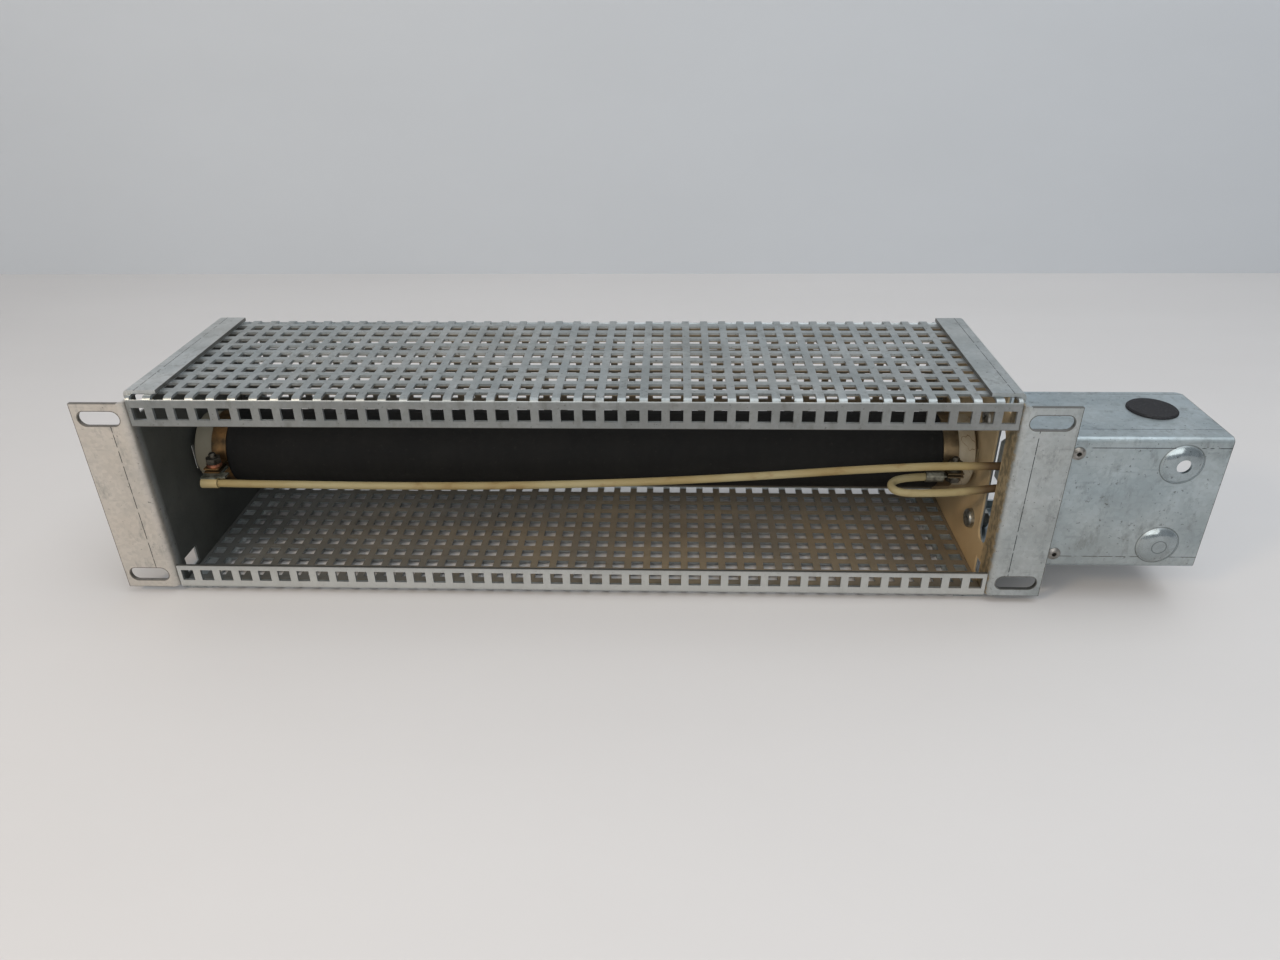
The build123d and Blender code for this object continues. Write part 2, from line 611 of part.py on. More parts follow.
def terminal_block_body():
    """Two-pole terminal block moulding with a metal clamp in each pole."""
    z0 = BLOCK_MID_Z - BLOCK_HALF_Z
    z1 = BLOCK_MID_Z + BLOCK_HALF_Z
    body = block(BLOCK_X0, BLOCK_X1, BRACKET_TOP_Y, BLOCK_Y1, z0, z1)
    uprights = [e for e in body.edges().filter_by(Axis.Y)]
    body = chamfer(uprights, BLOCK_CORNER / 2)
    for z in POLE_ZS:
        body -= block(
            CLAMP_X0 - FIT_GAP, CLAMP_X1 + FIT_GAP,
            POLE_Y - POLE_HALF - FIT_GAP, POLE_Y + POLE_HALF + FIT_GAP,
            z - POLE_HALF - FIT_GAP, z + POLE_HALF + FIT_GAP,
        )
        body -= rod((BLOCK_X0 - 1, POLE_Y, z), (1, 0, 0), CLAMP_BORE_R + 0.4, BLOCK_X1 - BLOCK_X0 + 2)
        for x in CLAMP_SCREW_XS:
            body -= rod((x, POLE_Y, z), (0, 1, 0), CLAMP_SCREW_HEAD_R + 0.25, 20)
    return body - [
        rod((BLOCK_SCREW_X, 0, BLOCK_MID_Z), (0, 1, 0), BLOCK_SCREW_R + FIT_GAP, 40),
        rod((BLOCK_SCREW_X, BLOCK_Y1 - 5, BLOCK_MID_Z), (0, 1, 0), 2.5, 10),
    ]


def terminal_clamp(z):
    """Metal clamp of one pole: bored along the lead, two tapped holes for its screws."""
    body = block(CLAMP_X0, CLAMP_X1, POLE_Y - POLE_HALF, POLE_Y + POLE_HALF, z - POLE_HALF, z + POLE_HALF)
    body -= rod((CLAMP_X0 - 1, POLE_Y, z), (1, 0, 0), CLAMP_BORE_R, CLAMP_X1 - CLAMP_X0 + 2)
    for x in CLAMP_SCREW_XS:
        body -= rod((x, POLE_Y, z), (0, 1, 0), CLAMP_SCREW_R + FIT_GAP, 8)
    return body


def clamp_screw(x, z):
    """Slotted clamping screw of the terminal block; its tip stops just above the lead."""
    tip_y = POLE_Y + LEAD_D / 2 + 0.15
    head_y = POLE_Y + POLE_HALF + 1.2
    screw = rod((x, tip_y, z), (0, 1, 0), CLAMP_SCREW_R, head_y + 0.5 - tip_y)
    screw += rod((x, head_y, z), (0, 1, 0), CLAMP_SCREW_HEAD_R, 2.4)
    return screw - block(x - 4, x + 4, head_y + 1.4, head_y + 3, z - 0.4, z + 0.4)


def block_screw():
    """Slotted screw that holds the block down on its bracket."""
    head_y = BLOCK_Y1 - 5
    tip = (BLOCK_SCREW_X, BRACKET_TOP_Y - BRACKET_T - 1.5, BLOCK_MID_Z)
    shank = rod(tip, (0, 1, 0), BLOCK_SCREW_R, head_y - 6)
    head = rod((BLOCK_SCREW_X, head_y, BLOCK_MID_Z), (0, 1, 0), 2.3, 1.8)
    slot = Pos(BLOCK_SCREW_X, head_y + 2, BLOCK_MID_Z) * Box(8, 2, 0.7)
    return shank + head - slot


def earth_screw():
    """Earth screw on the bracket, tapped into it, with a pan head to the rear."""
    head_y = BRACKET_TOP_Y + 3.0
    head = rod((EARTH_X, head_y, EARTH_Z), (0, 1, 0), PAN_R, PAN_H)
    rim = [e for e in head.edges() if e.geom_type == GeomType.CIRCLE and e.center().Y > head_y + 1]
    head = fillet(rim, 1.2)
    for tilt in (45, 135):
        head -= Pos(EARTH_X, head_y + PAN_H, EARTH_Z) * Rot(0, tilt, 0) * Box(4.4, 3.2, 0.9)
    tip_y = BRACKET_TOP_Y - 5.0
    return head + rod((EARTH_X, tip_y, EARTH_Z), (0, 1, 0), M4_SHANK_R, head_y + 0.3 - tip_y)


def earth_washer():
    """Cup washer under the earth screw's head."""
    ring = rod((EARTH_X, BRACKET_TOP_Y + 2.0, EARTH_Z), (0, 1, 0), M4_WASHER_R, 1.0)
    return ring - rod((EARTH_X, BRACKET_TOP_Y + 1, EARTH_Z), (0, 1, 0), M4_THREAD_CLEAR_R, 3)


def earth_clamp_plate():
    """Square saddle plate that traps the earth wire on the bracket."""
    half = 4.3
    plate = Pos(EARTH_X, BRACKET_TOP_Y + 1, EARTH_Z) * Box(2 * half, 2, 2 * half)
    plate -= Pos(EARTH_X, BRACKET_TOP_Y, EARTH_Z) * Box(18, 2, 6.4)
    return plate - rod((EARTH_X, BRACKET_TOP_Y - 1, EARTH_Z), (0, 1, 0), M4_THREAD_CLEAR_R, 4)


def blanking_plug():
    """Snap-in plug closing the spare cable hole in the top of the box."""
    top = BOX_HALF_Z
    under = BOX_HALF_Z - BOX_T
    profile = Polyline(
        (0, top + 0.4), (0, top + PLUG_CAP_H), (PLUG_CAP_R - 0.5, top + PLUG_CAP_H),
        (PLUG_CAP_R, top + PLUG_CAP_H - 0.5), (PLUG_CAP_R, top), (PLUG_BODY_R, top), (PLUG_BODY_R, under),
        (PLUG_BODY_R + 0.6, under), (PLUG_BODY_R, under - 2.2), (PLUG_BODY_R - 0.6, under - 6.0),
        (PLUG_BODY_R - 2.0, under - 6.0), (PLUG_BODY_R - 1.4, top + 0.4), close=True,
    )
    solid = revolve(Plane.XZ * make_face(profile), Axis.Z)
    return Pos(PLUG_X, PLUG_Y, 0) * solid


def build_nodes():
    """Every named piece of the assembly."""
    box_z = (BOX_SCREW_Z, -BOX_SCREW_Z)
    rivet_z = (RIVET_Z, -RIVET_Z)
    bolts_x = (LEFT_BOLT_X, RIGHT_BOLT_X)
    pole_screws = [(x, z) for x in CLAMP_SCREW_XS for z in POLE_ZS]
    return {
        "perforated_cover": perforated_cover(),
        "left_end_plate": left_end_plate(),
        "right_end_plate": right_end_plate(),
        "ceramic_core": ceramic_core(),
        "resistance_winding": resistance_winding(),
        "cement_coating": cement_coating(),
        "left_terminal_band": terminal_band(LEFT_BAND_X0, LEFT_EAR_X0, LEFT_BOLT_X),
        "right_terminal_band": terminal_band(RIGHT_BAND_X0, RIGHT_EAR_X0, RIGHT_BOLT_X),
        "clamp_bolts": Compound(children=[clamp_bolt(x) for x in bolts_x]),
        "clamp_nuts": Compound(children=[clamp_nut(x) for x in bolts_x]),
        "clamp_washers": Compound(children=[clamp_washer(x) for x in bolts_x]),
        "long_lead_lug": long_lead_lug(),
        "looped_lead_lug": looped_lead_lug(),
        "long_lead": lead(LONG_LEAD, "long_lead"),
        "looped_lead": lead(LOOPED_LEAD, "looped_lead"),
        "terminal_box": terminal_box(),
        "terminal_box_rivets": Compound(children=[box_rivet(z) for z in rivet_z]),
        "terminal_box_screws": Compound(children=[box_screw(z) for z in box_z]),
        "terminal_box_nuts": Compound(children=[box_nut(z) for z in box_z]),
        "terminal_bracket": terminal_bracket(),
        "terminal_block_body": terminal_block_body(),
        "terminal_clamps": Compound(children=[terminal_clamp(z) for z in POLE_ZS]),
        "terminal_screws": Compound(children=[clamp_screw(x, z) for x, z in pole_screws]),
        "block_screw": block_screw(),
        "earth_screw": earth_screw(),
        "earth_washer": earth_washer(),
        "earth_clamp_plate": earth_clamp_plate(),
        "blanking_plug": blanking_plug(),
    }


os.makedirs("parts", exist_ok=True)
for node, shape in build_nodes().items():
    export_step(shape, f"parts/{node}.step")
    box = shape.bounding_box()
    print(node, len(shape.solids()), [round(v, 2) for v in (*box.min, *box.max)])
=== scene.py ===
import math

import bpy
from mathutils import Matrix, Vector


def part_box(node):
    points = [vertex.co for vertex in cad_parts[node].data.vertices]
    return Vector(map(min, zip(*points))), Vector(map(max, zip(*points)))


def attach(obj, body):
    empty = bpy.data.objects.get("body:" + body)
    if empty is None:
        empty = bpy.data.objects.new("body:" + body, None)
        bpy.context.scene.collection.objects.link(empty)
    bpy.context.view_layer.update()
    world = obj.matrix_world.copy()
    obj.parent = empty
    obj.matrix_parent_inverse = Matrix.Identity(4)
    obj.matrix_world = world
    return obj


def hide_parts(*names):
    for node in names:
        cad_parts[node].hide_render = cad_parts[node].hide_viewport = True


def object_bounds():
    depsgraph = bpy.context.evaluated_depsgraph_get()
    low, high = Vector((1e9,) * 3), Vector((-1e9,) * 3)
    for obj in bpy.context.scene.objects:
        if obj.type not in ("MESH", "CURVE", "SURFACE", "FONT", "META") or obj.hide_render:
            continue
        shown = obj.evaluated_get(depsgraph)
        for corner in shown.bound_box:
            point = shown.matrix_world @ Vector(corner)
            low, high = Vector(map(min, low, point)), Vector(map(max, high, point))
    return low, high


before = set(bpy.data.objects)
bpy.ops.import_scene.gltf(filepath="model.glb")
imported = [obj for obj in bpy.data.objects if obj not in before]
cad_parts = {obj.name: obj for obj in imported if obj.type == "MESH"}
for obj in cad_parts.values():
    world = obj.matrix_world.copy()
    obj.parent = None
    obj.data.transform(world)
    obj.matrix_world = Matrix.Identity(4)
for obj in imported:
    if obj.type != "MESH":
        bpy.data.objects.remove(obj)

CAD_BOUNDS = [[float(v) for v in corner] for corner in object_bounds()]

# Lengths are in metres. x runs along the housing, y into its depth, z up.
FLOOR_Z = CAD_BOUNDS[0][2]
WALL_Y = 0.46
FLOOR_TONE = (0.615, 0.60, 0.595)
WALL_TONE = (0.57, 0.60, 0.635)
LEAD_DIAMETER = 0.0032
BRAID_PITCH = 0.0009
WINDING_PITCH = 0.004
CAMERA_PLACE = (0.03812, -0.30020, 0.17765)
CAMERA_DOWN_DEG = 29.073
CAMERA_YAW_DEG = -2.229
CAMERA_ROLL_DEG = 0.693
CAMERA_LENS_MM = 25.60

# The leads' control points, left lug and right lug first, terminal block last.
LONG_LEAD = [
    (-0.1544, 0.0205, -0.00360), (-0.1479, 0.02055, -0.00362), (-0.1360, 0.0209, -0.0041),
    (-0.1145, 0.0215, -0.0046), (-0.0732, 0.0222, -0.0054), (-0.0204, 0.0222, -0.0047),
    (0.0317, 0.0216, -0.0021), (0.0737, 0.0206, 0.0013), (0.1096, 0.0190, 0.0052),
    (0.1389, 0.0176, 0.0078), (0.1539, 0.0170, 0.0084), (0.1645, 0.01675, 0.00855),
    (0.1725, 0.01685, 0.00860), (0.1800, 0.0170, 0.00860),
]
LOOPED_LEAD = [
    (0.1470, 0.0270, -0.00175), (0.1380, 0.02685, -0.0020), (0.12984, 0.02655, -0.0030),
    (0.12665, 0.02336, -0.0034), (0.12665, 0.01884, -0.0034), (0.12984, 0.01565, -0.0032),
    (0.1380, 0.0155, -0.00315), (0.1500, 0.0156, -0.0028), (0.1620, 0.0161, -0.0015),
    (0.1715, 0.01675, -0.00065), (0.1800, 0.0170, -0.00050),
]
AXES = "xyz"


# --- camera -----------------------------------------------------------------------------------------------
def make_camera():
    """Camera at the picture's viewpoint."""
    down, yaw, roll = (math.radians(a) for a in (CAMERA_DOWN_DEG, CAMERA_YAW_DEG, CAMERA_ROLL_DEG))
    forward = Vector((math.sin(yaw) * math.cos(down), math.cos(yaw) * math.cos(down), -math.sin(down)))
    level = Vector((math.cos(yaw), -math.sin(yaw), 0.0))
    below = forward.cross(level)
    right = math.cos(roll) * level + math.sin(roll) * below
    up = math.sin(roll) * level - math.cos(roll) * below
    data = bpy.data.cameras.new("camera")
    data.sensor_width = 36.0
    data.lens = CAMERA_LENS_MM
    data.clip_start = 0.01
    camera = bpy.data.objects.new("camera", data)
    turn = Matrix((right, up, -forward)).transposed().to_4x4()
    camera.matrix_world = Matrix.Translation(CAMERA_PLACE) @ turn
    bpy.context.collection.objects.link(camera)
    bpy.context.scene.camera = camera


# --- materials --------------------------------------------------------------------------------------------
class Finish:
    """One procedural material, built step by step from noise and place in the object."""

    def __init__(self, name, metallic=0.0, roughness=0.5):
        self.material = bpy.data.materials.new(name)
        self.material.use_nodes = True
        self.tree = self.material.node_tree
        self.shader = self.tree.nodes["Principled BSDF"]
        self.shader.inputs["Metallic"].default_value = metallic
        self.shader.inputs["Roughness"].default_value = roughness
        self.place = self.tree.nodes.new("ShaderNodeTexCoord").outputs["Object"]
        self.parts = None

    def put(self, socket, value):
        """Links a socket to another, or sets its value."""
        if isinstance(value, bpy.types.NodeSocket):
            self.tree.links.new(value, socket)
        else:
            socket.default_value = value

    def math(self, operation, a, b=0.0, c=0.0, clamp=False):
        node = self.tree.nodes.new("ShaderNodeMath")
        node.operation = operation
        node.use_clamp = clamp
        for socket, value in zip(node.inputs, (a, b, c)):
            self.put(socket, value)
        return node.outputs[0]

    def axis(self, letter):
        """The x, y or z place of the point, in metres."""
        if self.parts is None:
            split = self.tree.nodes.new("ShaderNodeSeparateXYZ")
            self.put(split.inputs[0], self.place)
            self.parts = split
        return self.parts.outputs[AXES.index(letter)]

    def span(self, value, low, high):
        """0 below low, 1 above high, straight between; low may be the larger."""
        node = self.tree.nodes.new("ShaderNodeMapRange")
        node.clamp = True
        self.put(node.inputs["Value"], value)
        self.put(node.inputs["From Min"], low)
        self.put(node.inputs["From Max"], high)
        return node.outputs["Result"]

    def noise(self, size, stretch=(1, 1, 1), detail=3.0, roughness=0.55, shift=(0, 0, 0)):
        """Soft noise with blobs about size metres across, longer along a stretched axis."""
        mapping = self.tree.nodes.new("ShaderNodeMapping")
        self.put(mapping.inputs["Vector"], self.place)
        mapping.inputs["Location"].default_value = shift
        mapping.inputs["Scale"].default_value = [1.0 / (size * s) for s in stretch]
        node = self.tree.nodes.new("ShaderNodeTexNoise")
        self.put(node.inputs["Vector"], mapping.outputs[0])
        node.inputs["Scale"].default_value = 1.0
        node.inputs["Detail"].default_value = detail
        node.inputs["Roughness"].default_value = roughness
        return node.outputs["Fac"]

    def cells(self, size):
        """A random grey for each crystal of about size metres."""
        mapping = self.tree.nodes.new("ShaderNodeMapping")
        self.put(mapping.inputs["Vector"], self.place)
        mapping.inputs["Scale"].default_value = [1.0 / size] * 3
        node = self.tree.nodes.new("ShaderNodeTexVoronoi")
        self.put(node.inputs["Vector"], mapping.outputs[0])
        node.inputs["Scale"].default_value = 1.0
        grey = self.tree.nodes.new("ShaderNodeRGBToBW")
        self.put(grey.inputs[0], node.outputs["Color"])
        return grey.outputs[0]

    def inside(self, **ranges):
        """1 within the given x, y and z ranges, 0 elsewhere."""
        mask = None
        for letter, (low, high) in ranges.items():
            one = self.math("COMPARE", self.axis(letter), (low + high) / 2, abs(high - low) / 2)
            mask = one if mask is None else self.math("MULTIPLY", mask, one)
        return mask

    def any_of(self, masks):
        """The largest of several masks."""
        total = masks[0]
        for mask in masks[1:]:
            total = self.math("MAXIMUM", total, mask)
        return total

    def both(self, a, b):
        """The product of two masks."""
        return self.math("MULTIPLY", a, b, clamp=True)

    def length(self, a, b):
        """The length of the vector (a, b)."""
        squares = self.math("ADD", self.math("MULTIPLY", a, a), self.math("MULTIPLY", b, b))
        return self.math("SQRT", squares)

    def mix(self, factor, a, b):
        """Colour a where factor is 0, b where it is 1."""
        node = self.tree.nodes.new("ShaderNodeMix")
        node.data_type = "RGBA"
        self.put(node.inputs["Factor"], factor)
        for socket, value in ((node.inputs[6], a), (node.inputs[7], b)):
            self.put(socket, value if isinstance(value, bpy.types.NodeSocket) else (*value, 1.0))
        return node.outputs[2]

    def bump(self, height, depth, strength=0.5):
        node = self.tree.nodes.new("ShaderNodeBump")
        node.inputs["Strength"].default_value = strength
        node.inputs["Distance"].default_value = depth
        self.put(node.inputs["Height"], height)
        self.put(self.shader.inputs["Normal"], node.outputs[0])

    def colour(self, value):
        socket = self.shader.inputs["Base Color"]
        self.put(socket, value if isinstance(value, bpy.types.NodeSocket) else (*value, 1.0))

    def paint(self, *nodes):
        """Puts this material on CAD nodes."""
        for node in nodes:
            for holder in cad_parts[node].material_slots:
                holder.material = self.material


ZINC_COOL = (0.36, 0.405, 0.42)
ZINC_LIGHT = (0.50, 0.54, 0.55)
ZINC_DARK = (0.20, 0.21, 0.20)
ZINC_WARM = (0.50, 0.475, 0.425)
SCRIBE = (0.035, 0.037, 0.04)
SPECK = (0.06, 0.06, 0.055)
# Dark cut edges; at the right flange's outer edge also a painted shadow of the gap to the box.
CUT_EDGE_AND_GAP_SHADOW = (0.07, 0.062, 0.05)
# Painted shade inside the cover and at the boss bases; also the struck circle on one boss.
PAINTED_SHADE_AND_SCORE = (0.035, 0.035, 0.029)
# Painted shade on the cover's upper lip.
LIP_PAINTED_SHADE = (0.13, 0.125, 0.115)
# Painted light on the cover's lower lip.
LIP_PAINTED_LIGHT = (0.62, 0.62, 0.59)
COVER_BROWN = ((0.21, 0.15, 0.085), (0.33, 0.24, 0.13))
# Tan inside the right plate: heat stain and painted reflection of the browned floor sheet.
PLATE_TAN_AND_REFLECTION = ((0.40, 0.30, 0.165), (0.62, 0.48, 0.28))
# More tan low on the right plate, heat stain and painted reflection.
HEAT_AND_REFLECTED_TAN = (0.62, 0.43, 0.22)
# Painted dark reflection inside the right plate near its front bend.
OLIVE_DARK_REFLECTION = (0.085, 0.08, 0.055)
# Painted shadow and reflection inside the left plate.
PLATE_SHADOW_AND_REFLECTION = ((0.022, 0.024, 0.019), (0.048, 0.050, 0.040))
BOX_GRIME = (0.28, 0.26, 0.22)
COPPER_RED = ((0.50, 0.22, 0.14), (0.25, 0.10, 0.06))
DULL_ZINC = (0.09, 0.085, 0.065)
LUG_TIN = ((0.20, 0.21, 0.18), (0.09, 0.095, 0.075))
SLEEVE_CREAM = (0.34, 0.27, 0.13)
PLUG_BLACK = ((0.010, 0.010, 0.012), (0.050, 0.050, 0.055))
BRAID_CREAM = ((0.27, 0.205, 0.085), (0.33, 0.285, 0.155))
BRAID_SPOT = (0.19, 0.115, 0.035)
BRAID_END = (0.085, 0.05, 0.02)
CEMENT = ((0.0016, 0.0016, 0.0013), (0.0045, 0.0042, 0.0034))
CEMENT_DUST = (0.032, 0.029, 0.023)
CLAY = ((0.46, 0.41, 0.31), (0.30, 0.24, 0.15))
CLAY_SHADED = (0.14, 0.13, 0.095)
CLAY_CRACK = (0.16, 0.10, 0.05)
METALLIC = 0.68

# Places on the sheet metal, in metres.
FLANGE_Y = (-0.0002, 0.0016)
PLATE_DEPTH = 0.0110
PLATE_INSIDE = {"y": (0.0, 0.0874), "z": (-0.0424, 0.0424)}
RETURN_Y = (0.004, 0.087)
RETURN_OUTSIDE_Z = (0.0446, 0.0450)
SLOT_X, SLOT_Z, SLOT_HALF_STRAIGHT = 0.175, 0.035, 0.005
SLOT_RIM_R, SLOT_RIM_HALF_WIDTH = 0.0031, 0.00022
BOX_FRONT_Y = (0.0017, 0.0022)
BOX_TOP_Z = (0.0280, 0.0285)
BOSS_X, BOSS_Z, BOSS_R, STRUCK_CIRCLE_R = 0.2262, 0.0176, 0.0080, 0.0027
COVER_LIP_Y = (0.0014, 0.0028)


def zinc(name, shade, warm, scribes=(), edges=(), marks_and_shade=None):
    """Galvanised sheet: mottled grey, small crystals, scuffs, scribe lines, dark cut edges, heat staining,
    painted shade.

    shade scales its greys per part, partly the part's own tone and partly painted light and shade for how
    brightly it is lit; warm sets a painted warm light on the wall flange. marks_and_shade gives the new
    colour, with staining and painted shade, and where the metal is rougher and less metallic.
    """
    # shade scales every grey of this part: partly its own tone, partly painted light and shade.
    def tone(colour):
        return tuple(c * k for c, k in zip(colour, shade))

    f = Finish(name, metallic=METALLIC, roughness=0.42)
    base = f.mix(f.span(f.noise(0.020, detail=6), 0.36, 0.66), tone(ZINC_COOL), tone(ZINC_LIGHT))
    patches = f.span(f.noise(0.030, detail=5, shift=(7, 0, 3)), 0.35, 0.65)
    # Painted warm light on the front of the wall flange, which faces the warm lamp.
    painted_warm_light = f.math("MULTIPLY", f.span(f.axis("y"), 0.0045, 0.0020), warm)
    base = f.mix(f.math("MULTIPLY_ADD", patches, 0.20, painted_warm_light), base, tone(ZINC_WARM))
    crystal = f.span(f.cells(0.0015), 0.15, 0.95)
    base = f.mix(f.both(crystal, 0.22), base, tone(ZINC_DARK))
    scuff = f.noise(0.006, stretch=(1.0, 1.0, 2.2), detail=8, roughness=0.72, shift=(3, 1, 7))
    base = f.mix(f.both(f.span(scuff, 0.54, 0.68), 0.65), base, tone(ZINC_DARK))
    cloud = f.noise(0.045, stretch=(1.0, 1.0, 1.6), detail=5, roughness=0.65, shift=(8, 2, 5))
    base = f.mix(f.both(f.span(cloud, 0.50, 0.68), 0.30), base, tone(ZINC_DARK))
    streak = f.noise(0.0016, stretch=(9, 1, 1), detail=4, shift=(2, 6, 1))
    base = f.mix(f.both(f.span(streak, 0.62, 0.72), 0.28), base, tone(ZINC_DARK))
    speck = f.span(f.noise(0.0013, detail=2, shift=(9, 4, 2)), 0.66, 0.73)
    base = f.mix(f.both(speck, 0.6), base, SPECK)
    if scribes:
        lines = f.any_of([f.inside(**ranges) for ranges in scribes])
        dash = f.span(f.noise(0.0035, detail=1, shift=(5, 5, 5)), 0.36, 0.46)
        base = f.mix(f.math("MULTIPLY", f.both(lines, dash), 0.9), base, SCRIBE)
    if edges:
        rims = f.any_of([edge(f) if callable(edge) else f.inside(**edge) for edge in edges])
        # Dark rims: cut edges, and at the right flange's outer edge a painted shadow of the gap to the box.
        base = f.mix(f.both(rims, 0.75), base, CUT_EDGE_AND_GAP_SHADOW)
    base, dulled = marks_and_shade(f, base) if marks_and_shade else (base, None)
    f.colour(base)
    rough = f.span(f.noise(0.009, detail=6, shift=(2, 8, 1)), 0.1, 0.9)
    rough = f.math("MULTIPLY_ADD", rough, 0.20, 0.26)
    if dulled is not None:
        rough = f.math("MULTIPLY_ADD", dulled, 0.25, rough)
        f.put(f.shader.inputs["Metallic"], f.math("MULTIPLY_ADD", dulled, -0.45, METALLIC))
    f.put(f.shader.inputs["Roughness"], rough)
    f.bump(f.noise(0.0011, detail=4, shift=(1, 2, 3)), 0.00006, 0.35)
    return f


def cover_stains_and_shade(f, base):
    """Painted shade on the upper lip and painted light on the lower lip; painted shade and heat browning on
    the inner faces, the browning strongest under the tube's right half.
    """
    low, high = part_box("perforated_cover")
    near, far = 0.0009, 0.0013
    lips = f.inside(y=(low[1] - 0.0002, low[1] + 0.0002))
    upper_lip_shade = f.span(f.axis("z"), -0.02, 0.02)
    # Painted shade on the lips, stronger towards the top, and painted light on the lower lip.
    base = f.mix(f.both(lips, f.math("MULTIPLY_ADD", upper_lip_shade, 0.47, 0.02)), base, LIP_PAINTED_SHADE)
    lower = f.both(lips, f.span(f.axis("z"), -0.025, -0.035))
    base = f.mix(f.both(lower, 0.6), base, LIP_PAINTED_LIGHT)
    floor = f.inside(z=(low[2] + near, low[2] + far), y=(low[1] + 0.002, high[1] - 0.002))
    rear = f.inside(y=(high[1] - far, high[1] - near), z=(low[2] + 0.002, high[2] - 0.002))
    roof = f.inside(z=(high[2] - far, high[2] - near), y=(low[1] + 0.002, high[1] - 0.002))
    inner = f.any_of([floor, rear, roof])
    along = f.span(f.axis("x"), -0.19, 0.04)
    patch = f.span(f.noise(0.035, detail=5, shift=(4, 4, 0)), 0.28, 0.62)
    brown = f.math("MULTIPLY", f.both(inner, along), f.math("MULTIPLY_ADD", patch, 0.4, 0.5))
    # Painted shade on the inner faces of the cover.
    base = f.mix(f.both(inner, 0.70), base, PAINTED_SHADE_AND_SCORE)
    base = f.mix(f.both(brown, 0.75), base, f.mix(patch, *COVER_BROWN))
    return base, inner


def right_plate_tan_and_reflection(f, base):
    """Tan on the inside of the right plate, heat stain and painted reflection of the browned floor sheet;
    towards its front bend a painted dark olive reflection, broken up by noise.
    """
    inner_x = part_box("right_end_plate")[0][0] + PLATE_DEPTH
    inner = f.inside(x=(inner_x - 0.0046, inner_x + 0.0008), **PLATE_INSIDE)
    ragged = f.math("MULTIPLY_ADD", f.noise(0.0022, detail=5, shift=(1, 1, 4)), 0.0050, -0.0025)
    from_front = f.math("ADD", f.axis("y"), ragged)
    inner = f.both(inner, f.span(from_front, 0.0012, 0.0030))
    front = f.both(inner, f.span(from_front, 0.0130, 0.0100))
    patch = f.span(f.noise(0.018, detail=6, shift=(0, 3, 5)), 0.30, 0.62)
    lower = f.span(f.axis("z"), 0.004, -0.030)
    # Tan inside: heat stain and painted reflection of the browned floor sheet, more of it low down.
    base = f.mix(f.both(inner, 0.93), base, f.mix(patch, *PLATE_TAN_AND_REFLECTION))
    base = f.mix(f.math("MULTIPLY", f.both(inner, lower), 0.7), base, HEAT_AND_REFLECTED_TAN)
    # Painted dark olive reflection near the front bend, broken up by noise.
    reflection_breakup = f.span(f.noise(0.0018, stretch=(1, 1.2, 1.6), detail=6, shift=(0, 7, 0)), 0.42, 0.58)
    dark = f.math("MULTIPLY", f.both(front, f.math("MULTIPLY_ADD", reflection_breakup, 0.45, 0.5)), 0.85)
    base = f.mix(dark, base, OLIVE_DARK_REFLECTION)
    return base, inner


def left_plate_shade(f, base):
    """Painted grey-green shadow and reflection on the inside of the left plate."""
    inner_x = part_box("left_end_plate")[1][0] - PLATE_DEPTH
    inner = f.inside(x=(inner_x - 0.0008, inner_x + 0.0046), **PLATE_INSIDE)
    inner = f.both(inner, f.span(f.axis("y"), 0.0008, 0.0070))
    patch = f.span(f.noise(0.025, detail=5, shift=(6, 3, 5)), 0.3, 0.7)
    # Painted grey-green shadow and reflection.
    base = f.mix(f.both(inner, 0.92), base, f.mix(patch, *PLATE_SHADOW_AND_REFLECTION))
    return base, inner


def mirrored(low_high):
    """The same range on the other side of zero."""
    low, high = low_high
    return (-high, -low)


def on_side(side, near, far):
    """An x range on the left (-1) or right (1) half."""
    return sorted((side * near, side * far))


def plate_scribes(side):
    """Dashed setting-out lines on one end plate: on the wall flange and along the returns."""
    return_line = on_side(side, 0.16104, 0.16136)
    return [
        {"x": on_side(side, 0.17114, 0.17148), "y": (-0.0002, 0.0003), "z": (-0.0318, 0.0318)},
        {"x": return_line, "y": RETURN_Y, "z": RETURN_OUTSIDE_Z},
        {"x": return_line, "y": RETURN_Y, "z": mirrored(RETURN_OUTSIDE_Z)},
    ]


def slot_rims(f):
    """Thin rim round the four wall slots."""
    across = f.math("SUBTRACT", f.math("ABSOLUTE", f.axis("x")), SLOT_X)
    across = f.math("MAXIMUM", f.math("SUBTRACT", f.math("ABSOLUTE", across), SLOT_HALF_STRAIGHT), 0.0)
    along = f.math("SUBTRACT", f.math("ABSOLUTE", f.axis("z")), SLOT_Z)
    return f.math("COMPARE", f.length(across, along), SLOT_RIM_R, SLOT_RIM_HALF_WIDTH)


def plate_edges(side):
    """The dark cut edges of one end plate's wall flange and returns; on the right plate the outer edge's
    rim is also painted shadow of the gap to the box.
    """
    flange = on_side(side, 0.1668, 0.1851)
    flange_top = (0.04098, 0.0413)
    inner_end = on_side(side, 0.1531, 0.15335)
    return [
        # Outer edge: a cut edge, and on the right plate also painted shadow of the gap to the box.
        {"x": on_side(side, 0.18475, 0.1851), "y": FLANGE_Y},
        {"x": flange, "z": flange_top, "y": FLANGE_Y},
        {"x": flange, "z": mirrored(flange_top), "y": FLANGE_Y},
        {"x": inner_end, "z": (0.0434, 0.0450)},
        {"x": inner_end, "y": (0.0870, 0.0896)},
        slot_rims,
    ]


